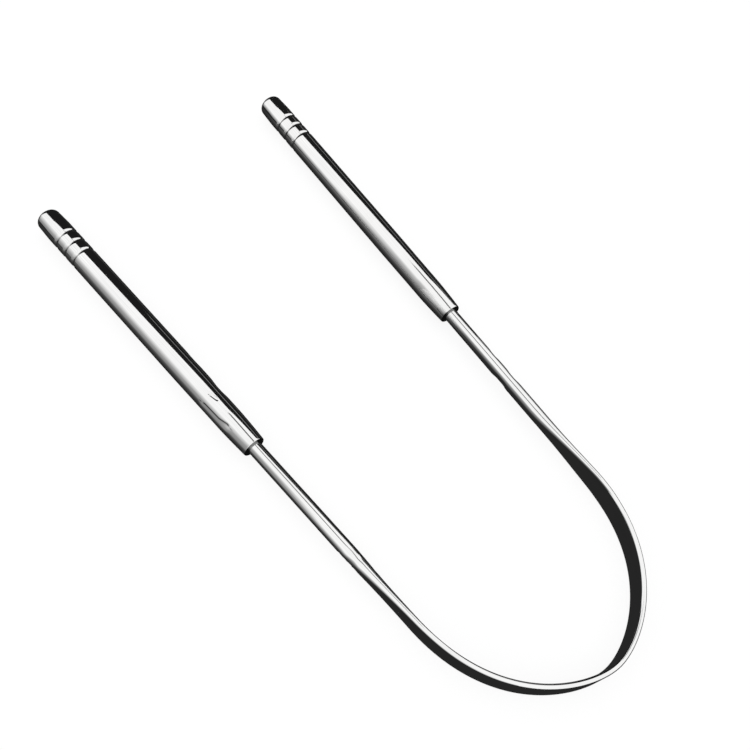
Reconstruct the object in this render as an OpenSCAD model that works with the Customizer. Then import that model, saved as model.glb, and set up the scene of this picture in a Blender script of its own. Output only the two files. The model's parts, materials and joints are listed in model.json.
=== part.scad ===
// Tongue scraper. One round wire has its middle rolled flat into a band and bent into a bow, and
// a handle tube is swaged over each of its ends and closed by a domed plug.
// The U lies flat. X runs across it, +Y from the bow to the handle tips, and +Z is up.
// Sizes are in millimetres. The origin is on the table, under the middle of the outline.

/* [Wire] */
// Diameter of the round wire
wire_d = 3; // [2.4:0.1:3.6]
// Length of round and flattening wire between a tube's mouth and the start of the bow
leg_l = 45; // [36:0.5:60]
// How far the two legs lean apart towards the handles, each, in degrees
splay = 3.25; // [0:0.25:8]
// Length of wire held inside a tube
wire_insert = 18; // [16:0.5:24]

/* [Scraping band] */
// Thickness of the rolled band
band_t = 1.1; // [0.8:0.05:1.6]
// Height of the rolled band, square to the plane of the U
band_h = 6.8; // [5:0.1:8]
// Straight length of each leg over which the wire is already being flattened
flatten_leg = 18; // [12:0.5:24]
// Depth into the bow at which the band has its full height
flatten_bow = 6; // [3:0.5:9]

/* [Bow] */
// Width between wire centres where the legs run into the bow
bow_w = 46.3; // [40:0.1:56]
// Depth of the bow, to the middle of the band
bow_depth = 28.1; // [22:0.1:34]
// Fullness of the bow beside the legs, near 0.55 for a round one
leg_fullness = 0.75; // [0.5:0.01:0.8]
// Fullness of the bow at its crown, which is less the tighter the crown is
crown_fullness = 0.28; // [0.24:0.01:0.6]

/* [Handle tube] */
// Outside diameter of the tube
handle_d = 5.6; // [5.2:0.1:7]
// Length of a handle, from the tube's mouth to the top of the plug's dome
handle_l = 71.6; // [60:0.2:90]
// Wall of the tube
handle_wall = 0.7; // [0.4:0.05:0.9]
// Outside diameter of the tube at its mouth
mouth_d = 4.8; // [4.6:0.1:5.2]
// Length over which the mouth tapers
taper_l = 8; // [5:0.5:10]
// Length of the crimped neck, from the mouth
neck_l = 15.5; // [13:0.5:20]
// How much smaller the neck's radius is than the tube's
neck_step = 0.08; // [0.04:0.01:0.15]
// Radius of the lip that is broken at the mouth
lip_r = 0.12; // [0.05:0.01:0.4]

/* [Crimp flats] */
// Number of jaws that closed the neck
jaw_count = 6; // [3:1:8]
// Depth to which the jaws bit into the neck
jaw_depth = 0.14; // [0.05:0.01:0.2]
// Length of the bite
jaw_l = 11.5; // [8:0.5:12.5]
// Room between the bite and the tube's mouth
jaw_from_mouth = 2.2; // [1:0.1:3]

/* [Rolled grooves] */
// Number of grooves near the tip
groove_count = 3; // [1:1:4]
// Distance between grooves
groove_pitch = 3.1; // [2:0.1:4]
// Distance from the tip to the first groove
groove_first = 8.1; // [5:0.1:10]
// Width of a groove
groove_w = 1.3; // [0.8:0.1:1.8]
// Depth of a groove
groove_depth = 0.2; // [0.1:0.05:0.4]

/* [End plug] */
// Diameter of the tip, where the plug's head meets the tube
tip_d = 5.3; // [5:0.1:5.6]
// Length over which the tube narrows to the tip
tip_taper_l = 3.5; // [2:0.5:4.5]
// Height of the plug's domed head
head_h = 1.5; // [1:0.1:3]
// Length of the plug, with its head
plug_l = 17.5; // [16:0.5:22]
// Chamfer on the plug's inner end
plug_chamfer = 0.4; // [0.2:0.1:0.8]

/* [Fits] */
// Radial room of the wire in the neck and of the plug in the tube
fit_gap = 0.01; // [0.005:0.005:0.03]

/* [Hidden] */

// Number of sides that round faces are drawn with
round_sides = 96;
// Points round one section of the band
section_points = 24;
// Rings along the flattening part of one leg and along one half of the bow
leg_rings = 16;
bow_rings = 30;
// Points along one groove, one lip, one eased step and one dome
groove_points = 12;
lip_points = 6;
ease_points = 8;
dome_points = 16;
// How square the plug's dome is, where 2 gives an ellipse
dome_squareness = 2.6;
// How much longer than the bite a jaw's cutter is
cutter_overrun = 1;

wire_r = wire_d / 2;
handle_r = handle_d / 2;
mouth_r = mouth_d / 2;
tip_r = tip_d / 2;
bore_r = handle_r - handle_wall;
neck_r = handle_r - neck_step;
grip_r = wire_r + fit_gap;
tube_l = handle_l - head_h;
// Length of the eased step from the neck to the full tube
neck_ease = (neck_l - taper_l) / 2;
// The jaws are wide rollers whose radius follows from the length and depth of their bite
jaw_r = (jaw_l * jaw_l / 4 + jaw_depth * jaw_depth) / (2 * jaw_depth);
jaw_s = jaw_from_mouth + jaw_l / 2;

// Radius of the neck's taper at distance s from the mouth
function taper_r(s) = mouth_r + (neck_r - mouth_r) * min(1, s / taper_l);

// A smooth step from 0 to 1
function ease(share) = let (x = max(0, min(1, share))) x * x * (3 - 2 * x);

// Where groove i lies, measured from the mouth
function groove_s(i) = handle_l - groove_first - i * groove_pitch;

// How deep the rolls pressed the wall in at distance s from the mouth
function roll_in(s) = max([for (i = [0 : groove_count - 1])
    let (off = s - groove_s(i))
    abs(off) < groove_w / 2 ? groove_depth * (1 + cos(360 * off / groove_w)) / 2 : 0]);

// Stations through the grooves, from the mouth outwards
groove_stations = [for (i = [groove_count - 1 : -1 : 0]) for (j = [0 : groove_points])
    groove_s(i) + groove_w * (j / groove_points - 1 / 2)];

// The tube's outside as [radius, distance from the mouth]
tube_outside = concat(
    [for (j = [0 : lip_points]) let (a = 90 * j / lip_points)
        [taper_r(0) - lip_r + lip_r * sin(a), lip_r - lip_r * cos(a)]],
    [[neck_r, taper_l]],
    [for (j = [0 : ease_points])
        [neck_r + neck_step * ease(j / ease_points), neck_l - neck_ease * (1 - j / ease_points)]],
    [for (s = groove_stations) [handle_r - roll_in(s), s]],
    [[handle_r, tube_l - tip_taper_l], [tip_r, tube_l]]);

// The tube's inside, from the tip back to the mouth, tight on the wire along the neck
tube_inside = concat(
    [[bore_r - (handle_r - tip_r), tube_l], [bore_r, tube_l - tip_taper_l]],
    [for (k = [len(groove_stations) - 1 : -1 : 0])
        [bore_r - roll_in(groove_stations[k]), groove_stations[k]]],
    [[bore_r, neck_l], [grip_r, neck_l - neck_ease / 2], [grip_r, 0]]);

// The plug, from the top of its dome down its head, its grooved shank and its inner end
plug_outside = concat(
    [for (j = [0 : dome_points]) let (a = 90 * (1 - j / dome_points))
        [tip_r * pow(cos(a), 2 / dome_squareness), tube_l + head_h * pow(sin(a), 2 / dome_squareness)]],
    [[bore_r - (handle_r - tip_r) - fit_gap, tube_l], [bore_r - fit_gap, tube_l - tip_taper_l]],
    [for (k = [len(groove_stations) - 1 : -1 : 0])
        [bore_r - fit_gap - roll_in(groove_stations[k]), groove_stations[k]]],
    [[bore_r - fit_gap, handle_l - plug_l + plug_chamfer],
     [bore_r - fit_gap - plug_chamfer, handle_l - plug_l], [0, handle_l - plug_l]]);

// A point and its direction on the right leg, at distance s from the bow
function leg_point(s) = [bow_w / 2 + s * sin(splay), s * cos(splay)];
leg_run = [-sin(splay), -cos(splay)];

// The right half of the bow is one curve from the leg's end to the crown
bow_p0 = [bow_w / 2, 0];
bow_p1 = bow_p0 + leg_fullness * bow_depth * leg_run;
bow_p2 = [crown_fullness * bow_w / 2, -bow_depth];
bow_p3 = [0, -bow_depth];
function bow_point(u) = pow(1 - u, 3) * bow_p0 + 3 * u * pow(1 - u, 2) * bow_p1
    + 3 * u * u * (1 - u) * bow_p2 + pow(u, 3) * bow_p3;
function bow_run(u) = let (d = pow(1 - u, 2) * (bow_p1 - bow_p0) + 2 * u * (1 - u) * (bow_p2 - bow_p1)
    + u * u * (bow_p3 - bow_p2)) d / norm(d);

// Stations of the band's centre line, [point, direction], from the right leg to the left one
right_half = concat(
    [for (j = [0 : leg_rings - 1]) [leg_point(flatten_leg * (1 - j / leg_rings)), leg_run]],
    [for (j = [0 : bow_rings]) [bow_point(j / bow_rings), bow_run(j / bow_rings)]]);
left_half = [for (k = [len(right_half) - 2 : -1 : 0]) let (p = right_half[k])
    [[-p[0][0], p[0][1]], [p[1][0], -p[1][1]]]];
band_line = concat(right_half, left_half);

// How far the wire has been rolled flat at a place along Y, from 0 to 1
function flatness(y) = ease((flatten_leg * cos(splay) - y) / (flatten_leg * cos(splay) + flatten_bow));

// Half the height there, and half the thickness, which shrinks as the metal spreads in height
function half_h(y) = wire_r + (band_h / 2 - wire_r) * flatness(y);
function half_t(y) = wire_r * band_t / (band_t + (wire_d - band_t) * flatness(y));

// One section of the band: a flat strip with round edges, which is a full circle at the legs
function section(place) = let (
    y = place[0][1], run = place[1], out = [-run[1], run[0]], r = half_t(y), lift = half_h(y) - r)
    [for (k = [0 : section_points - 1]) let (a = 360 * k / section_points, side = r * cos(a))
        [place[0][0] + out[0] * side, place[0][1] + out[1] * side, r * sin(a) + sign(round_off(sin(a))) * lift]];
function round_off(x) = abs(x) < 1e-9 ? 0 : x;

// Height of the U's middle plane, with the band's edge on the table
plane_z = band_h / 2;
// Ends of the whole outline along Y, and the shift that puts the origin at its middle
tip_y = (leg_l * cos(splay)) + max([for (p = plug_outside) p[1] * cos(splay) + p[0] * sin(splay)]);
crown_y = -bow_depth - band_t / 2;
centre_y = (tip_y + crown_y) / 2;

// Places what is drawn in the plane of the U
module in_frame() {
    translate([0, -centre_y, plane_z]) children();
}

// Places what is drawn round Z, from a tube's mouth outwards, on the right leg
module on_right_leg() {
    mouth = leg_point(leg_l);
    in_frame() translate([mouth[0], mouth[1], 0]) rotate([0, 0, -splay]) rotate([-90, 0, 0]) children();
}

module on_left_leg() {
    mirror([1, 0, 0]) on_right_leg() children();
}

// A swaged tube, with the bite of each jaw rolled into its neck
module handle_tube() {
    difference() {
        rotate_extrude($fn = round_sides) polygon(concat(tube_outside, tube_inside));
        for (k = [0 : jaw_count - 1]) rotate([0, 0, 360 * k / jaw_count])
            translate([taper_r(jaw_s) - jaw_depth + jaw_r, 0, jaw_s]) rotate([90, 0, 0])
                cylinder(r = jaw_r, h = handle_d + cutter_overrun, center = true, $fn = round_sides);
    }
}

module end_plug() {
    rotate_extrude($fn = round_sides) polygon(plug_outside);
}

// The round wire, from its end inside the tube to where the flattening starts
module wire_leg() {
    translate([0, 0, flatten_leg - leg_l])
        cylinder(r = wire_r, h = leg_l - flatten_leg + wire_insert, $fn = round_sides);
}

module left_handle_tube() {
    color([0.72, 0.73, 0.75]) on_left_leg() handle_tube();
}

module right_handle_tube() {
    color([0.72, 0.73, 0.75]) on_right_leg() handle_tube();
}

module left_end_plug() {
    color([0.66, 0.67, 0.69]) on_left_leg() end_plug();
}

module right_end_plug() {
    color([0.66, 0.67, 0.69]) on_right_leg() end_plug();
}

module left_wire_leg() {
    color([0.78, 0.79, 0.8]) on_left_leg() wire_leg();
}

module right_wire_leg() {
    color([0.78, 0.79, 0.8]) on_right_leg() wire_leg();
}

// The flattened middle of the wire, swept along the bow
module scraping_band() {
    rings = [for (place = band_line) section(place)];
    ring_count = len(rings);
    n = section_points;
    color([0.6, 0.61, 0.63]) in_frame() polyhedron(
        points = [for (ring = rings) for (p = ring) p],
        faces = concat(
            [[for (k = [n - 1 : -1 : 0]) k]],
            [for (i = [0 : ring_count - 2]) for (k = [0 : n - 1])
                [i * n + k, i * n + (k + 1) % n, (i + 1) * n + (k + 1) % n]],
            [for (i = [0 : ring_count - 2]) for (k = [0 : n - 1])
                [i * n + k, (i + 1) * n + (k + 1) % n, (i + 1) * n + k]],
            [[for (k = [0 : n - 1]) (ring_count - 1) * n + k]]));
}

left_handle_tube();
right_handle_tube();
left_end_plug();
right_end_plug();
left_wire_leg();
right_wire_leg();
scraping_band();
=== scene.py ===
# %% [markdown]
# # A steel tongue scraper
# One length of stainless wire is the whole tool: its middle is rolled flat and bent into a bow, and
# a steel tube is swaged over each end as a handle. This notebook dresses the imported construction
# with the shapes and finishes that a camera sees. It works in metres, in the same frame as the
# construction: X across the U, +Y from the bow to the handle tips, +Z up, the table at Z = 0.

import json
import math

import bpy
import numpy as np
from mathutils import Matrix, Vector


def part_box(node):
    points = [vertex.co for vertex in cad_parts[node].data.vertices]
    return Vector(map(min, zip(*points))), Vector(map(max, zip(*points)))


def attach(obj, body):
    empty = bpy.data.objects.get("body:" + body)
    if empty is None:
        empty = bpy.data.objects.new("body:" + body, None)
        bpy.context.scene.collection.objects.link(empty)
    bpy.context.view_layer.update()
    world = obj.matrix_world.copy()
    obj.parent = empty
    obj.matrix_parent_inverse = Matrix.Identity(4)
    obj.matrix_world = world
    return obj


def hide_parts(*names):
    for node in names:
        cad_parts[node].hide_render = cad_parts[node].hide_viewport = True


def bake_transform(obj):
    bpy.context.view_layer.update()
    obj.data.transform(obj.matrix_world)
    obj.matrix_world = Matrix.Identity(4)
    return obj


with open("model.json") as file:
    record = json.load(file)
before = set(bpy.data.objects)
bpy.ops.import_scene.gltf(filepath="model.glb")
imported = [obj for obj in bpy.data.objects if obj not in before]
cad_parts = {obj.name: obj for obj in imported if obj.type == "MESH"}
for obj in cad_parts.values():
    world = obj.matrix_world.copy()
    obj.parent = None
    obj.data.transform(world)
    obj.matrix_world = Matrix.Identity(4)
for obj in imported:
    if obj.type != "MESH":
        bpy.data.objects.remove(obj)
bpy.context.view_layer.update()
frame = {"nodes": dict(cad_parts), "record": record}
print("nodes:", sorted(frame["nodes"]))

# %% [markdown]
# ## Sizes
# What the construction already holds is read from it: the direction of the right leg and the radius
# of a handle stand in the record's mount, and the thickness of the wire and the height of the band
# are the sizes of their boxes. The rest are the real sizes that the construction was drawn with.

# %% Sizes read from the frame
MM = 0.001
grip = next(m for m in frame["record"]["mounts"] if m["name"] == "right_handle_grip")
SPLAY = math.atan2(grip["axis"][0], grip["axis"][1])
HANDLE_R = grip["dims"]["r_mm"] * MM
PLANE_Z = grip["pos_m"][2]
wire_low, wire_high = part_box("right_wire_leg")
band_low, band_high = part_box("scraping_band")
WIRE_R = (wire_high.z - wire_low.z) / 2
BAND_H = band_high.z - band_low.z
print(f"each leg leans out by {math.degrees(SPLAY):.2f} degrees")
print(f"radius of a handle {HANDLE_R / MM:.2f} mm, of the wire {WIRE_R / MM:.2f} mm")

# %% Sizes of the wire and its bow
BAND_T = 1.1 * MM
LEG_L = 45 * MM
WIRE_INSERT = 18 * MM
FLATTEN_LEG = 18 * MM
FLATTEN_BOW = 6 * MM
BOW_W = 46.3 * MM
BOW_DEPTH = 28.1 * MM
LEG_FULLNESS = 0.75
CROWN_FULLNESS = 0.28
BOW_Y = band_low.y + BAND_T / 2 + BOW_DEPTH
print(f"band {BAND_H / MM:.1f} mm by {BAND_T / MM:.1f} mm, bow {BOW_W / MM:.1f} mm wide")

# %% Sizes of a handle and its plug
HANDLE_L = 71.6 * MM
HANDLE_WALL = 0.7 * MM
MOUTH_R = 2.4 * MM
TAPER_L = 8 * MM
NECK_L = 15.5 * MM
NECK_STEP = 0.08 * MM
LIP_R = 0.12 * MM
GROOVE_COUNT = 3
GROOVE_PITCH = 3.1 * MM
GROOVE_FIRST = 8.1 * MM
GROOVE_W = 1.3 * MM
GROOVE_DEPTH = 0.2 * MM
TIP_R = 2.65 * MM
TIP_TAPER_L = 3.5 * MM
HEAD_H = 1.5 * MM
PLUG_L = 17.5 * MM
PLUG_CHAMFER = 0.4 * MM
DOME_SQUARENESS = 2.6
FIT_GAP = 0.01 * MM
print(f"handle {HANDLE_L / MM:.1f} mm long, its mouth {2 * MOUTH_R / MM:.1f} mm across")


def ease(share):
    """A smooth step from 0 to 1."""
    x = max(0.0, min(1.0, share))
    return x * x * (3 - 2 * x)


# %% [markdown]
# ## Working habits
# Blender's tools act on whatever is selected, so each step first deselects everything and then picks
# its own object. Two small helpers keep that in one place.


# %% Helpers for selecting and finishing
CREASE_ANGLE = math.radians(35)


def alone(obj):
    """Makes obj the only selected and the active object."""
    bpy.ops.object.select_all(action="DESELECT")
    obj.select_set(True)
    bpy.context.view_layer.objects.active = obj
    return obj


def added(name):
    """Names the object that a tool has just added."""
    obj = bpy.context.object
    obj.name = name
    obj.data.name = name
    return alone(obj)


def settle(obj):
    """Writes the object's place and turn into its mesh, so that the object itself sits at the origin."""
    alone(obj)
    bpy.ops.object.transform_apply(location=True, rotation=True, scale=True)
    return obj


def smooth(obj):
    """Smooth shading, with a crease only where faces meet at more than the crease angle."""
    alone(obj)
    bpy.ops.object.shade_smooth_by_angle(angle=CREASE_ANGLE)
    print(obj.name, "has", len(obj.data.polygons), "faces")


# %% [markdown]
# ## Camera
# The photograph looks down on the U from high up on the left of its bow. Its camera was found by
# fitting the construction's outline to the outline in the photograph. A camera in Blender looks along
# its own -Z with +Y up, so its matrix is built from the looking direction and the up direction.

# %% Camera at the photograph's viewing angle
CAMERA_PLACE = Vector((-61.5, -57.4, 162.0)) * MM
CAMERA_LOOK = Vector((0.3589, 0.3141, -0.879)).normalized()
CAMERA_UP = Vector((0.5267, 0.7092, 0.4685))
CAMERA_LENS = 42.2

camera_data = bpy.data.cameras.new("camera")
camera_data.lens = CAMERA_LENS
camera_data.clip_start = 10 * MM
camera = bpy.data.objects.new("camera", camera_data)
bpy.context.scene.collection.objects.link(camera)
right = CAMERA_LOOK.cross(CAMERA_UP).normalized()
turn = Matrix((right, right.cross(CAMERA_LOOK), -CAMERA_LOOK)).transposed()
camera.matrix_world = Matrix.Translation(CAMERA_PLACE) @ turn.to_4x4()
bpy.context.scene.camera = camera
print("camera looks down at", round(math.degrees(math.asin(-CAMERA_LOOK.z)), 1), "degrees")

# %% [markdown]
# ## Studio
# Polished steel has hardly any colour of its own: it shows what stands round it. The floor and the
# world are white to the camera and in reflections, and one large soft box hangs over the table. The
# dark bands that draw the outline of the metal come from cards, as in a product photographer's
# studio. Where they stand was read from the photograph: a band's place across a round handle gives
# the direction that its reflection comes from.

# %% View settings and node helpers
bpy.context.scene.view_settings.view_transform = "Standard"


def node(tree, kind, inputs=None, **settings):
    """Adds a node, sets its properties, and joins or sets its inputs by name or number."""
    made = tree.nodes.new(kind)
    for key, value in settings.items():
        setattr(made, key, value)
    for key, value in (inputs or {}).items():
        if isinstance(value, bpy.types.NodeSocket):
            tree.links.new(value, made.inputs[key])
        else:
            made.inputs[key].default_value = value
    return made


def empty_tree(owner):
    """Turns a material's or the world's nodes on and clears them."""
    owner.use_nodes = True
    owner.node_tree.nodes.clear()
    return owner.node_tree


def ramp(tree, value, from_min, from_max, to_min=0.0, to_max=1.0):
    """A value taken from one range to another and kept inside it."""
    return node(tree, "ShaderNodeMapRange", {"Value": value, "From Min": from_min, "From Max": from_max,
                                             "To Min": to_min, "To Max": to_max}).outputs["Result"]


def math_node(tree, operation, *values):
    """One step of arithmetic on sockets or numbers."""
    return node(tree, "ShaderNodeMath", dict(enumerate(values)), operation=operation).outputs[0]


def seen_ray(tree):
    """1 for rays from the camera, from gloss and through glass, and 0 for light that falls on things."""
    path = node(tree, "ShaderNodeLightPath").outputs
    sharp = math_node(tree, "MAXIMUM", path["Is Camera Ray"], path["Is Glossy Ray"])
    return math_node(tree, "MAXIMUM", sharp, path["Is Transmission Ray"])


# %% The white world
WORLD_FILL = 0.45
world = bpy.data.worlds.new("studio")
tree = empty_tree(world)
strength = ramp(tree, seen_ray(tree), 0.0, 1.0, WORLD_FILL, 1.0)
background = node(tree, "ShaderNodeBackground", {"Color": (1, 1, 1, 1), "Strength": strength})
node(tree, "ShaderNodeOutputWorld", {"Surface": background.outputs[0]})
bpy.context.scene.world = world
print("the world lights the metal at", WORLD_FILL)

# %% The floor
FLOOR_SIZE = 8.0
FLOOR_DROP = 0.1 * MM
FLOOR_GLOW_SHARE = 0.88
FLOOR_WHITE = (0.9, 0.9, 0.9, 1)

bpy.ops.mesh.primitive_plane_add(size=FLOOR_SIZE, location=(0, 0, -FLOOR_DROP))
floor = settle(added("floor"))
floor_paint = bpy.data.materials.new("white_floor")
tree = empty_tree(floor_paint)
paint = node(tree, "ShaderNodeBsdfDiffuse", {"Color": FLOOR_WHITE})
glow = node(tree, "ShaderNodeEmission", {"Color": (1, 1, 1, 1), "Strength": 1.0})
share = math_node(tree, "MULTIPLY", seen_ray(tree), FLOOR_GLOW_SHARE)
mix = node(tree, "ShaderNodeMixShader", {0: share, 1: paint.outputs[0], 2: glow.outputs[0]})
node(tree, "ShaderNodeOutputMaterial", {"Surface": mix.outputs[0]})
floor.data.materials.append(floor_paint)
print("floor", FLOOR_SIZE, "m wide")

# %% The soft box
SOFT_BOX_PLACE = Vector((-0.1, 0.1, 0.9))
SOFT_BOX_SIZE = 2.4
SOFT_BOX_POWER = 21.0

lamp_data = bpy.data.lights.new("overhead_box", "AREA")
lamp_data.shape = "SQUARE"
lamp_data.size = SOFT_BOX_SIZE
lamp_data.energy = SOFT_BOX_POWER
lamp = bpy.data.objects.new("overhead_box", lamp_data)
lamp.location = SOFT_BOX_PLACE
lamp.rotation_euler = (-SOFT_BOX_PLACE).to_track_quat("-Z", "Y").to_euler()
lamp.visible_camera = lamp.visible_glossy = False
bpy.context.scene.collection.objects.link(lamp)
print("soft box", round(SOFT_BOX_PLACE.length, 2), "m from the object")


# %% Cards that only reflections see
def card(obj, name, paint):
    """Turns a flat object into a card that only reflections can see."""
    settle(added(name))
    obj.data.materials.append(paint)
    obj.visible_camera = obj.visible_diffuse = obj.visible_shadow = obj.visible_transmission = False
    print(name, "stands in the studio")


def flat(size_x, size_y, place, turn=(0, 0, 0)):
    """A plane of that size at that place and turn."""
    bpy.ops.mesh.primitive_plane_add(size=1, location=place, rotation=turn)
    bpy.context.object.scale = (size_x, size_y, 1)
    return bpy.context.object


def facing_right(height, length, x, y):
    """An upright plane along the legs that stands on the table and faces +X."""
    return flat(height, length, (x, y, height / 2), (0, math.pi / 2, 0))


def facing_left(height, length, x, y):
    """An upright plane along the legs that stands on the table and faces -X."""
    return flat(height, length, (x, y, height / 2), (0, -math.pi / 2, 0))


def card_paint(name, level, share=None):
    """A paint that glows at a level, and that a share makes see-through where it is below 1."""
    material = bpy.data.materials.new(name)
    tree = empty_tree(material)
    surface = node(tree, "ShaderNodeEmission", {"Color": (1, 1, 1, 1), "Strength": level(tree)})
    if share:
        clear = node(tree, "ShaderNodeBsdfTransparent")
        blend = {0: share(tree), 1: clear.outputs[0], 2: surface.outputs[0]}
        surface = node(tree, "ShaderNodeMixShader", blend)
    node(tree, "ShaderNodeOutputMaterial", {"Surface": surface.outputs[0]})
    return material


def world_axes(tree):
    """The place on a card, whose own coordinates are those of the world because it is settled."""
    place = node(tree, "ShaderNodeTexCoord").outputs["Object"]
    return node(tree, "ShaderNodeSeparateXYZ", {0: place}).outputs


# %% [markdown]
# The table card is black close to the metal's left side and fades to grey farther off, which gives
# each round piece the soft dark edge on its lower left: the black close to the metal is a painted
# shadow of the tool on the table, seen only in reflections. The fade is measured from the nearer leg,
# and round the bow the card stays black, so that the flat faces of the band are black as well.

# %% The table card, with a painted shadow near the legs
CARD_BLACK = 0.012
TABLE_CARD = 5.0
TABLE_BLACK = 0.02
TABLE_GREY = 0.2
# Painted shadow of the tool on the table, seen only in reflections: black close to the nearer leg, fading
# to grey over these distances.
SHADOW_FADE_FROM = 5 * MM
SHADOW_FADE_TO = 40 * MM
RIGHT_SHADOW_FADE_TO = 28 * MM
BOW_BLACK_TO = -25 * MM
LEGS_GREY_FROM = -10 * MM
RIGHT_LEG_LATER = 17 * MM
MIDDLE_FADE = 15 * MM
GREY_TO_TIPS = 70 * MM
BLACK_FROM = 82 * MM
LEG_LEAN = math.tan(SPLAY)
LEG_X = grip["pos_m"][0] - grip["pos_m"][1] * LEG_LEAN


def table_level_with_painted_shadow(tree):
    """Black near the nearer leg as a painted shadow, and grey farther off."""
    axes = world_axes(tree)
    leg = math_node(tree, "MULTIPLY_ADD", axes["Y"], LEG_LEAN, LEG_X)
    side = math_node(tree, "SIGN", math_node(tree, "ADD", axes["X"], leg))
    off = math_node(tree, "SUBTRACT", math_node(tree, "MULTIPLY", leg, side), axes["X"])
    far_up = math_node(tree, "MULTIPLY_ADD", side, -RIGHT_LEG_LATER, axes["Y"])
    grey = ramp(tree, far_up, BOW_BLACK_TO, LEGS_GREY_FROM, 0.0, TABLE_GREY - TABLE_BLACK)
    outer = ramp(tree, side, 0.0, -1.0)
    right_half = math_node(tree, "MAXIMUM", outer, ramp(tree, axes["X"], -MIDDLE_FADE, 0.0))
    fade_to = ramp(tree, side, -1.0, 1.0, SHADOW_FADE_TO, RIGHT_SHADOW_FADE_TO)
    faded = math_node(tree, "MULTIPLY", ramp(tree, off, SHADOW_FADE_FROM, fade_to), right_half)
    faded = math_node(tree, "MULTIPLY", ramp(tree, axes["Y"], GREY_TO_TIPS, BLACK_FROM, 1.0, 0.0), faded)
    return math_node(tree, "MULTIPLY_ADD", faded, grey, TABLE_BLACK)


card(flat(TABLE_CARD, TABLE_CARD, (0, 0, -FLOOR_DROP / 2)), "table_card",
     card_paint("card_table", table_level_with_painted_shadow))

# %% [markdown]
# A grey card runs along the left side. It is tallest beside the legs and lower towards the bow and
# the handle tips, and its upper edge is feathered, so the steel goes softly from white to grey.

# %% The left card
LEFT_CARD_X = -85 * MM
LEFT_CARD_Y = 75 * MM
LEFT_CARD_L = 450 * MM
LEFT_CARD_H = 180 * MM
TALL_AT_LEGS = 70 * MM
LOW_AT_TIPS = 34 * MM
TIPS_FROM = 42 * MM
LOW_AT_BOW = 26 * MM
BOW_UP_TO = -8 * MM
LEGS_FROM = 16 * MM
LEFT_DARK = 0.24
LEFT_PALE = 0.42
PALE_SHARE = 0.9
SOLID_SHARE = 0.6
CLEAR_SHARE = 2.0


def height_share(tree):
    """How high a place on the left card is, as a share of the card's slanted upper edge."""
    axes = world_axes(tree)
    edge = math_node(tree, "MINIMUM", ramp(tree, axes["Y"], BOW_UP_TO, LEGS_FROM, LOW_AT_BOW, TALL_AT_LEGS),
                     ramp(tree, axes["Y"], 0.0, TIPS_FROM, TALL_AT_LEGS, LOW_AT_TIPS))
    return math_node(tree, "DIVIDE", axes["Z"], edge)


def left_level(tree):
    """Dark at the table and paler higher up."""
    return ramp(tree, height_share(tree), 0.0, PALE_SHARE, LEFT_DARK, LEFT_PALE)


def left_share(tree):
    """Solid low down, and clear from twice the height of the slanted edge."""
    return ramp(tree, height_share(tree), SOLID_SHARE, CLEAR_SHARE, 1.0, 0.0)


card(facing_right(LEFT_CARD_H, LEFT_CARD_L, LEFT_CARD_X, LEFT_CARD_Y), "left_card",
     card_paint("card_left", left_level, left_share))

# %% [markdown]
# A small card between the legs darkens the lower left of the right wire. Its back is see-through, so
# the left wire doesn't mirror it.

# %% The middle card
MIDDLE_CARD_X = 6 * MM
MIDDLE_CARD_Y = -13 * MM
MIDDLE_CARD_L = 60 * MM
MIDDLE_CARD_H = 32 * MM
MIDDLE_DARK = 0.03
MIDDLE_PALE = 0.42
MIDDLE_DARK_Z = 4 * MM
MIDDLE_PALE_Z = 24 * MM
MIDDLE_SOLID_Z = 18 * MM
MIDDLE_SOLID_Y = 2 * MM


def front_side(tree):
    """1 on a card's front and 0 on its back."""
    return math_node(tree, "SUBTRACT", 1.0, node(tree, "ShaderNodeNewGeometry").outputs["Backfacing"])


def product(tree, *values):
    """Several shares multiplied together."""
    whole = values[0]
    for value in values[1:]:
        whole = math_node(tree, "MULTIPLY", whole, value)
    return whole


def middle_level(tree):
    """Dark at the table and paler higher up."""
    return ramp(tree, world_axes(tree)["Z"], MIDDLE_DARK_Z, MIDDLE_PALE_Z, MIDDLE_DARK, MIDDLE_PALE)


def middle_share(tree):
    """Solid near the table, and clear at the top and at the end towards the handles."""
    axes = world_axes(tree)
    low = ramp(tree, axes["Z"], MIDDLE_SOLID_Z, MIDDLE_CARD_H, 1.0, 0.0)
    near = ramp(tree, axes["Y"], MIDDLE_SOLID_Y, MIDDLE_CARD_Y + MIDDLE_CARD_L / 2, 1.0, 0.0)
    return product(tree, front_side(tree), low, near)


card(facing_right(MIDDLE_CARD_H, MIDDLE_CARD_L, MIDDLE_CARD_X, MIDDLE_CARD_Y), "middle_card",
     card_paint("card_middle", middle_level, middle_share))

# %% [markdown]
# A paler card goes on from the middle card towards the handles. It fades out along its length, so
# that the right handle's lower left goes softly from grey at the neck to white at the tip.

# %% The neck card
NECK_CARD_Y = 34 * MM
NECK_CARD_L = 52 * MM
NECK_CARD_GREY = 0.2
NECK_CARD_SHARE = 0.6
NECK_SOLID_Y = 30 * MM
NECK_FEATHER = 10 * MM


def neck_share(tree):
    """Partly clear all over, and feathered at both ends and at the top."""
    axes = world_axes(tree)
    start, end = NECK_CARD_Y - NECK_CARD_L / 2, NECK_CARD_Y + NECK_CARD_L / 2
    low = ramp(tree, axes["Z"], MIDDLE_SOLID_Z, MIDDLE_CARD_H, NECK_CARD_SHARE, 0.0)
    begun = ramp(tree, axes["Y"], start, start + NECK_FEATHER)
    ended = ramp(tree, axes["Y"], NECK_SOLID_Y, end, 1.0, 0.0)
    return product(tree, front_side(tree), low, begun, ended)


card(facing_right(MIDDLE_CARD_H, NECK_CARD_L, MIDDLE_CARD_X, NECK_CARD_Y), "neck_card",
     card_paint("card_neck", lambda tree: NECK_CARD_GREY, neck_share))

# %% [markdown]
# A black card about as tall as the handles stands beside the middle card and is seen from its left
# only. It hides the right half of the tool from the left half, whose far edge is then a clean black.

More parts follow.
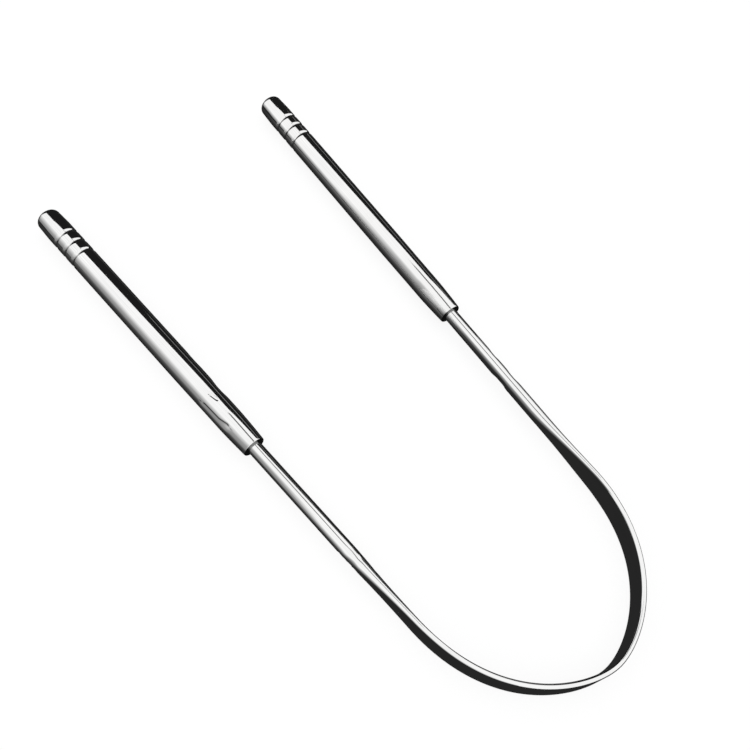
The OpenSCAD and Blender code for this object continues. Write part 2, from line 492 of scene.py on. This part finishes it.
# %% The low card
LOW_CARD_X = -10 * MM
LOW_CARD_Y = 28 * MM
LOW_CARD_L = 135 * MM
LOW_CARD_H = 6.5 * MM
card(facing_left(LOW_CARD_H, LOW_CARD_L, LOW_CARD_X, LOW_CARD_Y), "low_card",
     card_paint("card_low", lambda tree: CARD_BLACK, front_side))

# %% [markdown]
# A small dark card stands to the right of the bow. The end of the right leg mirrors it as a slim line.

# %% The right card
RIGHT_CARD_X = 70 * MM
RIGHT_CARD_Y = -28 * MM
RIGHT_CARD_L = 64 * MM
RIGHT_CARD_H = 18 * MM
RIGHT_CARD_GREY = 0.25
card(facing_left(RIGHT_CARD_H, RIGHT_CARD_L, RIGHT_CARD_X, RIGHT_CARD_Y), "right_card",
     card_paint("card_right", lambda tree: RIGHT_CARD_GREY))

# %% [markdown]
# A slim grey seam hangs overhead, like the gap between two ceiling panels. It draws the thin line
# that runs along the middle of both wires and goes on a little way up both necks.

# %% The overhead seam
SEAM_PLACE = Vector((126, 132, 466)) * MM
SEAM_W = 95 * MM
SEAM_L = 145 * MM
SEAM_GREY = 0.12
card(flat(SEAM_W, SEAM_L, SEAM_PLACE), "overhead_seam", card_paint("card_seam", lambda tree: SEAM_GREY))

# %% [markdown]
# A large black disc stands far beyond the object, half of it below the table, and serves as a
# half-round screen. Each handle mirrors it as the broad black band on its upper right, and the wires
# only just catch its low end.

# %% The far screen
SCREEN_FAR = 2.0
SCREEN_BEARING = math.radians(48)
SCREEN_SHIFT_SHARE = 0.54
SCREEN_HALF_W_SHARE = 1.3
SCREEN_H_SHARE = 1.24
SCREEN_SIDES = 96
away = Vector((math.cos(SCREEN_BEARING), math.sin(SCREEN_BEARING), 0))
aside = Vector((-away.y, away.x, 0))
bpy.ops.mesh.primitive_circle_add(vertices=SCREEN_SIDES, radius=SCREEN_FAR, fill_type="NGON",
                                  location=(away + aside * SCREEN_SHIFT_SHARE) * SCREEN_FAR,
                                  rotation=(math.pi / 2, 0, SCREEN_BEARING - math.pi / 2))
bpy.context.object.scale = (SCREEN_HALF_W_SHARE, SCREEN_H_SHARE, 1)
card(bpy.context.object, "far_screen", card_paint("card_black", lambda tree: CARD_BLACK))

# %% [markdown]
# A dim strip in front of the screen gives the thin light line inside the left handle's black band.

# %% The light strip
STRIP_FAR = 1.9
STRIP_BEARING = math.radians(24)
STRIP_W = 0.75
STRIP_H = 150 * MM
STRIP_Z = 460 * MM
STRIP_LEVEL = 0.24
strip_place = (STRIP_FAR * math.cos(STRIP_BEARING), STRIP_FAR * math.sin(STRIP_BEARING), STRIP_Z)
card(flat(STRIP_W, STRIP_H, strip_place, (math.pi / 2, 0, STRIP_BEARING - math.pi / 2)), "light_strip",
     card_paint("card_strip", lambda tree: STRIP_LEVEL))

# %% [markdown]
# ## Steel
# Drawn and polished stainless steel is never one flat grey. The drawing die leaves fine lines along
# the wire, handling leaves short scratches in all directions, and fingers leave a faint haze. Each
# effect is a node group with its own inputs, so that every steel piece can wear it in its own
# measure. All three read the attribute "blank": the place of a point on the straight blank before
# it was bent or set on the tool, with X along the metal, so the lines follow the bow and have no seam.


# %% Node groups for the metal's wear
def wear_group(name, values):
    """An empty group with a Place input, number inputs with their defaults, and a Mask output."""
    group = bpy.data.node_groups.new(name, "ShaderNodeTree")
    group.interface.new_socket("Place", in_out="INPUT", socket_type="NodeSocketVector")
    for key, value in values.items():
        group.interface.new_socket(key, in_out="INPUT", socket_type="NodeSocketFloat").default_value = value
    group.interface.new_socket("Mask", in_out="OUTPUT", socket_type="NodeSocketFloat")
    return group, node(group, "NodeGroupInput").outputs


def scaled(tree, place, along, across):
    """The place with its own scale along and across the metal."""
    scale = node(tree, "ShaderNodeCombineXYZ", {"X": along, "Y": across, "Z": across}).outputs[0]
    return node(tree, "ShaderNodeVectorMath", {0: place, 1: scale}, operation="MULTIPLY").outputs[0]


def noise_mask(tree, vector, clear, full, **settings):
    """Noise that is 0 below one value and 1 above another."""
    noise = node(tree, "ShaderNodeTexNoise", {"Vector": vector} | settings)
    return ramp(tree, noise.outputs["Fac"], clear, full)


# %% Lines from the drawing die
lines, given = wear_group("drawing_lines", {"Along": 60.0, "Across": 7000.0})
vector = scaled(lines, given["Place"], given["Along"], given["Across"])
line_mask = noise_mask(lines, vector, clear=0.3, full=0.7, Scale=1.0, Detail=3.0, Roughness=0.6)
node(lines, "NodeGroupOutput", {"Mask": line_mask})
print(lines.name, "is a group of", len(lines.nodes), "nodes")

# %% Scratches, in patches and at a turn to the metal
scratches, given = wear_group("fine_scratches", {"Along": 900.0, "Across": 9000.0, "Turn": 0.6})
turned = node(scratches, "ShaderNodeVectorRotate", {"Vector": given["Place"], "Angle": given["Turn"]},
              rotation_type="X_AXIS").outputs[0]
leaned = node(scratches, "ShaderNodeVectorRotate", {"Vector": turned, "Angle": given["Turn"]},
              rotation_type="Z_AXIS").outputs[0]
vector = scaled(scratches, leaned, given["Along"], given["Across"])
stroke = noise_mask(scratches, vector, clear=0.66, full=0.74, Scale=1.0, Detail=2.0)
patch = noise_mask(scratches, given["Place"], clear=0.5, full=0.62, Scale=350.0, Detail=2.0)
node(scratches, "NodeGroupOutput", {"Mask": math_node(scratches, "MULTIPLY", stroke, patch)})
print(scratches.name, "is a group of", len(scratches.nodes), "nodes")

# %% Haze from handling
haze, given = wear_group("handling_haze", {"Scale": 120.0})
haze_mask = noise_mask(haze, given["Place"], clear=0.35, full=0.7,
                       Scale=given["Scale"], Detail=4.0, Distortion=0.4)
node(haze, "NodeGroupOutput", {"Mask": haze_mask})
print(haze.name, "is a group of", len(haze.nodes), "nodes")

# %% [markdown]
# The material adds the wear up. Worn places are rougher and a little darker, the lines stand proud by
# a hair and the scratches are cut in. A tube begins at 0 on its blank at its mouth, and the first
# hundredths of a millimetre there are darkened nearly to black: painted shade of the thin gap round
# the wire.

# %% The steel material
# Painted shade: the first hundredths of a millimetre of each blank, round the wire at the tube's mouth, are
# darkened to this share.
MOUTH_SHADE_SPAN = (0.01 * MM, 0.04 * MM)
MOUTH_PAINTED_SHADE = 0.12
WORN_SHADE = 0.74
SCRATCH_TURNS = (0.5, -0.9)
LINE_RELIEF = 0.5
RELIEF_STRENGTH = 0.03
RELIEF_DEPTH = 0.01 * MM


def steel(name, colour, roughness, line_share, scratch_share, haze_share):
    """Polished stainless steel, with drawing lines, scratches, haze, and painted shade where a blank begins
    at the tube's mouth.
    """
    material = bpy.data.materials.new(name)
    tree = empty_tree(material)
    place = node(tree, "ShaderNodeAttribute", attribute_name="blank").outputs["Vector"]

    def wear(group, **values):
        """The mask of one kind of wear, read at the place on the blank."""
        return node(tree, "ShaderNodeGroup", {"Place": place} | values, node_tree=group).outputs["Mask"]

    line = wear(lines)
    scratch = math_node(tree, "MAXIMUM", *[wear(scratches, Turn=turn) for turn in SCRATCH_TURNS])
    worn = math_node(tree, "ADD", math_node(tree, "MULTIPLY", scratch, scratch_share),
                     math_node(tree, "MULTIPLY", wear(haze), haze_share))
    dull = math_node(tree, "ADD", math_node(tree, "MULTIPLY", line, line_share), worn)
    rough = math_node(tree, "ADD", dull, roughness)
    along = node(tree, "ShaderNodeSeparateXYZ", {0: place}).outputs["X"]
    shade = math_node(tree, "MULTIPLY",
                      ramp(tree, dull, 0.0, line_share + scratch_share + haze_share, 1.0, WORN_SHADE),
                      ramp(tree, along, *MOUTH_SHADE_SPAN, MOUTH_PAINTED_SHADE, 1.0))
    tint = node(tree, "ShaderNodeVectorMath", {0: colour, "Scale": shade}, operation="SCALE")
    relief = math_node(tree, "SUBTRACT", math_node(tree, "MULTIPLY", line, LINE_RELIEF), scratch)
    bump = node(tree, "ShaderNodeBump", {"Strength": RELIEF_STRENGTH, "Distance": RELIEF_DEPTH,
                                         "Height": relief})
    shader = node(tree, "ShaderNodeBsdfPrincipled", {"Base Color": tint.outputs[0], "Metallic": 1.0,
                                                     "Roughness": rough, "Normal": bump.outputs[0]})
    node(tree, "ShaderNodeOutputMaterial", {"Surface": shader.outputs[0]})
    return material


DRAWN = {"roughness": 0.025, "line_share": 0.035, "scratch_share": 0.03, "haze_share": 0.012}
TURNED = {"roughness": 0.03, "line_share": 0.03, "scratch_share": 0.03, "haze_share": 0.02}
BRIGHT = (0.99, 0.99, 0.985)
SOFT_BRIGHT = (0.97, 0.97, 0.965)
tube_steel = steel("tube_steel", BRIGHT, **DRAWN)
plug_steel = steel("plug_steel", SOFT_BRIGHT, **TURNED)
wire_steel = steel("wire_steel", BRIGHT, **DRAWN)
print("steels:", tube_steel.name, plug_steel.name, wire_steel.name)


def remember_blank(obj, along):
    """Stores each point's place on the straight blank, with the given axis of the mesh put first."""
    places = np.zeros(len(obj.data.vertices) * 3)
    obj.data.vertices.foreach_get("co", places)
    places = np.roll(places.reshape(-1, 3), -along, axis=1)
    blank = obj.data.attributes.new("blank", "FLOAT_VECTOR", "POINT")
    blank.data.foreach_set("vector", places.astype(np.float32).ravel())


# %% [markdown]
# ## The wire
# The real wire starts as a straight round blank. Its middle is rolled flat, which spreads the metal
# in height, and the flat is then bent round a former. The mesh takes the same steps: a cylinder with
# many rings, three Displace modifiers that thin and spread its middle by vertex weights, and a Curve
# modifier that bends it. Bending last keeps the band square to the plane of the U all the way round.

# %% The guide that the wire is bent to
GUIDE_STEPS = 256
leg_run = Vector((math.sin(SPLAY), math.cos(SPLAY), 0))
bow_start = Vector((BOW_W / 2, BOW_Y, PLANE_Z))
crown = Vector((0, BOW_Y - BOW_DEPTH, PLANE_Z))
wire_end = bow_start + leg_run * (LEG_L + WIRE_INSERT)
mouth = bow_start + leg_run * LEG_L
bow_pull = leg_run * LEG_FULLNESS * BOW_DEPTH
crown_pull = Vector((CROWN_FULLNESS * BOW_W / 2, 0, 0))


def left_side(point):
    """The same point on the left half."""
    return Vector((-point.x, point.y, point.z))


leg_third = leg_run * (LEG_L + WIRE_INSERT) / 3
guide_points = (
    (left_side(wire_end), left_side(wire_end + leg_third), left_side(wire_end - leg_third)),
    (left_side(bow_start), left_side(bow_start + leg_third), left_side(bow_start - bow_pull)),
    (crown, crown - crown_pull, crown + crown_pull),
    (bow_start, bow_start - bow_pull, bow_start + leg_third),
    (wire_end, wire_end - leg_third, wire_end + leg_third),
)

bpy.ops.curve.primitive_bezier_curve_add()
guide = added("wire_guide")
guide.data.twist_mode = "Z_UP"
guide.data.resolution_u = GUIDE_STEPS
spline = guide.data.splines[0]
spline.bezier_points.add(len(guide_points) - len(spline.bezier_points))
for point, (place, before, after) in zip(spline.bezier_points, guide_points):
    point.handle_left_type = point.handle_right_type = "FREE"
    point.co, point.handle_left, point.handle_right = place, before, after
wire_l = spline.calc_length()
bow_half = wire_l / 2 - LEG_L - WIRE_INSERT
print(f"wire {wire_l / MM:.1f} mm long, of which the bow is {2 * bow_half / MM:.1f} mm")

# %% [markdown]
# A cylinder gives the round blank. Its long edges are subdivided twice, because one call makes at
# most a hundred cuts, and that leaves a ring every half millimetre for the rolling and bending.


# %% The straight blank
def pick(obj, kind, test):
    """Selects the vertices, edges or faces that pass the test, and goes to edit mode."""
    alone(obj)
    for parts in (obj.data.vertices, obj.data.edges, obj.data.polygons):
        parts.foreach_set("select", [False] * len(parts))
    for part in getattr(obj.data, kind):
        part.select = test(part)
    bpy.ops.object.mode_set(mode="EDIT")


WIRE_SIDES = 96
RING_CUTS = (19, 20)
bpy.ops.mesh.primitive_cylinder_add(vertices=WIRE_SIDES, radius=WIRE_R, depth=wire_l,
                                    location=(wire_l / 2, 0, 0), rotation=(0, math.pi / 2, 0))
wire = settle(added("wire"))
bpy.context.tool_settings.mesh_select_mode = (False, True, False)


def runs_along(edge):
    """Whether an edge of the blank runs along it."""
    a, b = (wire.data.vertices[i].co for i in edge.vertices)
    return abs(a.x - b.x) > abs(a.y - b.y) + abs(a.z - b.z)


for cuts in RING_CUTS:
    pick(wire, "edges", runs_along)
    bpy.ops.mesh.subdivide(number_cuts=cuts)
    bpy.ops.object.mode_set(mode="OBJECT")
remember_blank(wire, along=0)
print("rings every", round(wire_l / math.prod(cuts + 1 for cuts in RING_CUTS) / MM, 2), "mm")

# %% [markdown]
# Rolling keeps the metal: as the strip gets thinner it gets taller. The weights follow that rule.
# "thin" moves the surface in along its normals, and "upper" and "lower" then lift the two halves
# apart, so that a round section becomes a flat strip with round edges, and stays round at the legs.

# %% Rolling the middle flat


def rolled_share(x):
    """How far the blank is rolled flat at x along it, from 0 to 1."""
    from_bow = abs(x - wire_l / 2) - bow_half
    return ease((FLATTEN_LEG - from_bow) / (FLATTEN_LEG + FLATTEN_BOW))


def half_height(x):
    """Half the height of the rolled wire at x."""
    return WIRE_R + (BAND_H / 2 - WIRE_R) * rolled_share(x)


def half_thickness(x):
    """Half the thickness of the rolled wire at x."""
    return WIRE_R * BAND_T / (BAND_T + (2 * WIRE_R - BAND_T) * rolled_share(x))


THIN_BY = WIRE_R - BAND_T / 2
LIFT_BY = (BAND_H - BAND_T) / 2
ON_MIDDLE = 0.01 * MM
groups = {name: wire.vertex_groups.new(name=name) for name in ("thin", "upper", "lower")}
for vertex in wire.data.vertices:
    half_t = half_thickness(vertex.co.x)
    groups["thin"].add([vertex.index], (WIRE_R - half_t) / THIN_BY, "REPLACE")
    lift = (half_height(vertex.co.x) - half_t) / LIFT_BY
    if abs(vertex.co.z) > ON_MIDDLE:
        groups["upper" if vertex.co.z > 0 else "lower"].add([vertex.index], lift, "REPLACE")


def displace(obj, group, direction, strength):
    """Moves a weighted group along a direction and applies the move."""
    alone(obj)
    bpy.ops.object.modifier_add(type="DISPLACE")
    move = obj.modifiers[-1]
    move.vertex_group, move.direction, move.strength, move.mid_level = group, direction, strength, 0
    bpy.ops.object.modifier_apply(modifier=move.name)


displace(wire, "thin", "NORMAL", -THIN_BY)
displace(wire, "upper", "Z", LIFT_BY)
displace(wire, "lower", "Z", -LIFT_BY)

# %% [markdown]
# A tool slips now and then, so real legs and necks carry small dents. A dent is pressed in with the
# same modifier. Its row in a table holds its depth and half width in millimetres and its route over
# the round piece. Each place on a route is a distance along the piece in millimetres and an angle in
# degrees, where 0 is straight up and 90 is towards -X on the left leg and +X on the right leg and on
# both handles. A weight paint by hand would do as well, but a route can be changed by its numbers.


# %% Pressing dents
def dent(half_width, route, radius, lean=1.0):
    """The share of a dent's depth at a place; its side of smaller angles is lean times as wide."""
    points = [Vector((s * MM, radius * math.radians(angle))) for s, angle in route]

    def share(s, angle):
        place = Vector((s, radius * angle))
        far = math.inf
        for a, b in zip(points, points[1:]):
            along = max(0.0, min(1.0, (place - a).dot(b - a) / (b - a).length_squared))
            off = place - a.lerp(b, along)
            far = min(far, off.length / (lean if off.y < 0 else 1.0))
        return ease(1 - far / (half_width * MM))

    return share


def press(obj, depth, share, turned, outside_from=0.0):
    """Presses a surface in by a share of a depth; turned gives what runs along, across and up."""
    group = obj.vertex_groups.new(name="press")
    for vertex in obj.data.vertices:
        along, across, up = turned(vertex.co)
        weight = share(along, math.atan2(across, up))
        if math.hypot(across, up) > outside_from and weight > 0:
            group.add([vertex.index], weight, "REPLACE")
    displace(obj, "press", "NORMAL", -depth)
    obj.vertex_groups.clear()


# %% The dents of the legs, where the rolls took hold
right_mouth = (wire_l - WIRE_INSERT) / MM
left_mouth = WIRE_INSERT / MM
ROLL_MARKS = (26.6, 27.9, 29.2, 30.5)
ROLL_MARK_L = 0.2
LEG_DENTS = (
    (0.26, 1.4, ((right_mouth - 17.4, -104), (right_mouth - 19.2, -104))),
    (0.14, 1.5, ((right_mouth - 12.8, 76), (right_mouth - 13.6, 76))),
    (0.16, 1.6, ((right_mouth - 18.8, 76), (right_mouth - 20.0, 76))),
    (0.05, 0.9, ((left_mouth + 27.4, 25), (left_mouth + 28.4, 15))),
    (0.05, 0.9, ((left_mouth + 28.8, 60), (left_mouth + 30.0, 50))),
    (0.05, 0.9, ((left_mouth + 30.2, -10), (left_mouth + 31.0, 10))),
    *((0.34, 0.6, ((left_mouth + s, 108), (left_mouth + s + ROLL_MARK_L, 108))) for s in ROLL_MARKS),
    (0.42, 0.8, ((left_mouth + 33.5, -70), (left_mouth + 33.8, -70))),
)
for depth, half_width, route in LEG_DENTS:
    press(wire, depth * MM, dent(half_width, route, WIRE_R), lambda co: (co.x, -co.y, co.z))
print(len(LEG_DENTS), "dents in the legs")

# %% Bending the wire to the guide
alone(wire)
bpy.ops.object.modifier_add(type="CURVE")
bend = wire.modifiers[-1]
bend.object, bend.deform_axis = guide, "POS_X"
bpy.ops.object.modifier_apply(modifier=bend.name)
bpy.data.objects.remove(guide)
wire.vertex_groups.clear()
bpy.ops.object.mode_set(mode="EDIT")
bpy.ops.mesh.select_all(action="SELECT")
bpy.ops.mesh.normals_make_consistent(inside=False)
bpy.ops.object.mode_set(mode="OBJECT")
smooth(wire)
wire.data.materials.append(wire_steel)
print("the wire's box in mm:", [[round(c / MM, 2) for c in wire.bound_box[i]] for i in (0, 6)])

# %% [markdown]
# ## The handles
# A real handle is a tube turned on a swaging machine: its mouth is closed down on the wire, and
# rolls press three grooves that hold the plug. All of that is round, so its outline is drawn once
# and spun, as on a lathe. The outline's points are extruded one after another, and the spin makes
# the walls. The inside is drawn too, so the tube is a closed shell whose wall has a thickness.

# %% A lathe for round pieces
SIDES = 160
MERGE = 0.001 * MM


def lathe(name, outline):
    """Spins an outline of (radius, height) round Z and closes it."""
    radius, height = outline[0]
    bpy.ops.mesh.primitive_plane_add(size=MM, location=(radius, 0, height))
    obj = settle(added(name))
    bpy.context.tool_settings.mesh_select_mode = (True, False, False)
    bpy.ops.object.mode_set(mode="EDIT")
    bpy.ops.mesh.select_all(action="SELECT")
    bpy.ops.mesh.merge(type="CENTER")
    for before, after in zip(outline, outline[1:]):
        step = (after[0] - before[0], 0, after[1] - before[1])
        bpy.ops.mesh.extrude_vertices_move(TRANSFORM_OT_translate={"value": step})
    bpy.ops.mesh.select_all(action="SELECT")
    bpy.ops.mesh.spin(steps=SIDES, angle=2 * math.pi, center=(0, 0, 0), axis=(0, 0, 1))
    bpy.ops.mesh.select_all(action="SELECT")
    bpy.ops.mesh.remove_doubles(threshold=MERGE)
    bpy.ops.mesh.normals_make_consistent(inside=False)
    bpy.ops.object.mode_set(mode="OBJECT")
    remember_blank(obj, along=2)
    return obj


# %% The tube's outline, from the mouth outwards and back along the inside
TUBE_L = HANDLE_L - HEAD_H
BORE_R = HANDLE_R - HANDLE_WALL
GRIP_R = WIRE_R + FIT_GAP
NECK_R = HANDLE_R - NECK_STEP
TAPER_CURVE = 1.5
NECK_SWELL_TO = 24 * MM
NECK_RINGS = 0.25 * MM
MARKED_L = 26 * MM
PLAIN_RINGS = 2 * MM
LIP_POINTS = 7
TIP_POINTS = 6
GROOVE_RINGS = 14
GROOVE_SIDE = 0.08 * MM
CONE_SHARE = 0.25


def spaced(start, end, step):
    """Even places from start to end, about a step apart."""
    return list(np.linspace(start, end, max(2, round((end - start) / step) + 1)))


def groove_place(i):
    """The distance of a groove from the mouth, with groove 0 nearest the tip."""
    return HANDLE_L - GROOVE_FIRST - i * GROOVE_PITCH


def rolled_in(s):
    """How deep the grooves are at distance s from the mouth."""
    offs = [abs(s - groove_place(i)) for i in range(GROOVE_COUNT)]
    return sum(GROOVE_DEPTH * (1 + math.cos(2 * math.pi * off / GROOVE_W)) / 2
               for off in offs if off < GROOVE_W / 2)


def neck_radius(s):
    """The mouth's taper runs out smoothly, and the neck then swells to the handle's full size."""
    taper = NECK_R - (NECK_R - MOUTH_R) * max(0.0, 1 - s / TAPER_L) ** TAPER_CURVE
    return taper + NECK_STEP * ease((s - TAPER_L) / (NECK_SWELL_TO - TAPER_L))


HALF_SPAN = GROOVE_W / 2 + GROOVE_SIDE
groove_places = []
for i in reversed(range(GROOVE_COUNT)):
    middle = groove_place(i)
    groove_places.append(middle - HALF_SPAN)
    groove_places.extend(np.linspace(middle - GROOVE_W / 2, middle + GROOVE_W / 2, GROOVE_RINGS + 1))
    groove_places.append(middle + HALF_SPAN)
lip = [(MOUTH_R - LIP_R + LIP_R * math.sin(a), LIP_R - LIP_R * math.cos(a))
       for a in np.linspace(0, math.pi / 2, LIP_POINTS)]
outside = lip + [(neck_radius(s), s) for s in spaced(LIP_R, MARKED_L, NECK_RINGS)[1:]]
outside += [(HANDLE_R, s) for s in spaced(MARKED_L, groove_places[0], PLAIN_RINGS)[1:-1]]
outside += [(HANDLE_R - rolled_in(s), s) for s in groove_places]
outside += [(HANDLE_R, s) for s in spaced(groove_places[-1], TUBE_L - TIP_TAPER_L, PLAIN_RINGS)[1:]]
outside += [(HANDLE_R + (TIP_R - HANDLE_R) * share, TUBE_L + TIP_TAPER_L * (share - 1))
            for share in np.linspace(0, 1, TIP_POINTS)[1:]]
inside = [(BORE_R - (HANDLE_R - TIP_R), TUBE_L), (BORE_R, TUBE_L - TIP_TAPER_L)]
inside += [(BORE_R - rolled_in(s), s) for s in reversed(groove_places)]
inside += [(BORE_R, NECK_L), (GRIP_R, NECK_L - (NECK_L - TAPER_L) * CONE_SHARE), (GRIP_R, 0)]
tube_outline = outside + inside + outside[:1]
print(len(tube_outline), "points in the tube's outline")

# %% [markdown]
# The plug is turned with a shallow dome on its head. A superellipse draws the dome: its top is nearly
# flat and its rim is rounder than a circle's.

# %% The plug's outline, from the top of the dome to the inner end
DOME_RINGS = 24
SHANK_R = BORE_R - FIT_GAP
dome = [(TIP_R * max(0.0, math.cos(a)) ** (2 / DOME_SQUARENESS),
         TUBE_L + HEAD_H * math.sin(a) ** (2 / DOME_SQUARENESS))
        for a in np.linspace(math.pi / 2, 0, DOME_RINGS + 1)]
dome[0] = (0.0, HANDLE_L)
plug_outline = dome + [(SHANK_R - (HANDLE_R - TIP_R), TUBE_L), (SHANK_R, TUBE_L - TIP_TAPER_L)]
plug_outline += [(SHANK_R - rolled_in(s), s) for s in reversed(groove_places)]
plug_outline += [(SHANK_R, HANDLE_L - PLUG_L + PLUG_CHAMFER), (SHANK_R - PLUG_CHAMFER, HANDLE_L - PLUG_L),
                 (0.0, HANDLE_L - PLUG_L)]
print(len(plug_outline), "points in the plug's outline")

# %% [markdown]
# ## Crimp marks
# Jaws closed the neck on the wire and left six long shallow bites with a ridge between each two. Both
# handles have the bites, and each has its own dents and scores besides. The number after a dent's
# half width says how much wider it is on its side of smaller angles: a score that leans is a crease.

# %% The bites and the dents of each handle, with their depths
JAW_COUNT = 6
JAW_DEPTH = 0.02 * MM
JAW_L = 11.5 * MM
JAW_FROM_MOUTH = 2.2 * MM
JAW_FEATHER = 8.0 * MM
JAW_HALF_ANGLE = math.radians(28)


def jaw_bites(s, angle):
    """The six bites, feathered at both ends."""
    start, end = JAW_FROM_MOUTH - JAW_FEATHER / 2, JAW_FROM_MOUTH + JAW_L + JAW_FEATHER / 2
    along = min(ease((s - start) / JAW_FEATHER), ease((end - s) / JAW_FEATHER))
    pitch = 2 * math.pi / JAW_COUNT
    return along * ease(1 - abs(angle % pitch - pitch / 2) / JAW_HALF_ANGLE)


HANDLE_DENTS = {
    "left": (
        (0.22, 2.6, 1.0, ((13.5, 92), (14.6, 92))),
        (0.09, 2.2, 1.0, ((22.0, 92), (23.0, 92))),
        (0.22, 0.42, 4.0, ((12.8, -52), (8.4, -49), (6.2, -37))),
        (0.12, 0.42, 1.0, ((13.4, -5), (11.6, 3))),
    ),
    "right": (
        (0.05, 1.6, 1.0, ((9.0, -58), (5.0, -52))),
    ),
}
print("dents in the necks:", {which: len(dents) for which, dents in HANDLE_DENTS.items()})


def handle(side, which):
    """A tube and its plug on one leg, with side +1 for the right one."""
    tube = lathe(which + "_tube", tube_outline)
    presses = [(JAW_DEPTH, jaw_bites)]
    presses += [(depth * MM, dent(half_width, route, HANDLE_R, lean))
                for depth, half_width, lean, route in HANDLE_DENTS[which]]
    for depth, share in presses:
        press(tube, depth, share, lambda co: (co.z, co.x, -co.y), MOUTH_R - LIP_R)
    plug = lathe(which + "_plug", plug_outline)
    for obj, paint in ((tube, tube_steel), (plug, plug_steel)):
        obj.rotation_euler = (-math.pi / 2, 0, -side * SPLAY)
        obj.location = (side * mouth.x, mouth.y, mouth.z)
        settle(obj)
        smooth(obj)
        obj.data.materials.append(paint)
        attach(obj, which + "_arm")
    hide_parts(which + "_handle_tube")
    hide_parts(which + "_end_plug")


# %% Both handles
handle(-1, "left")
handle(1, "right")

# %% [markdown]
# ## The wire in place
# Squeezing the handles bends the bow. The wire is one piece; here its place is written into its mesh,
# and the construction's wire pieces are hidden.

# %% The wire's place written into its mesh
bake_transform(wire)
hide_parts("left_wire_leg", "scraping_band", "right_wire_leg")
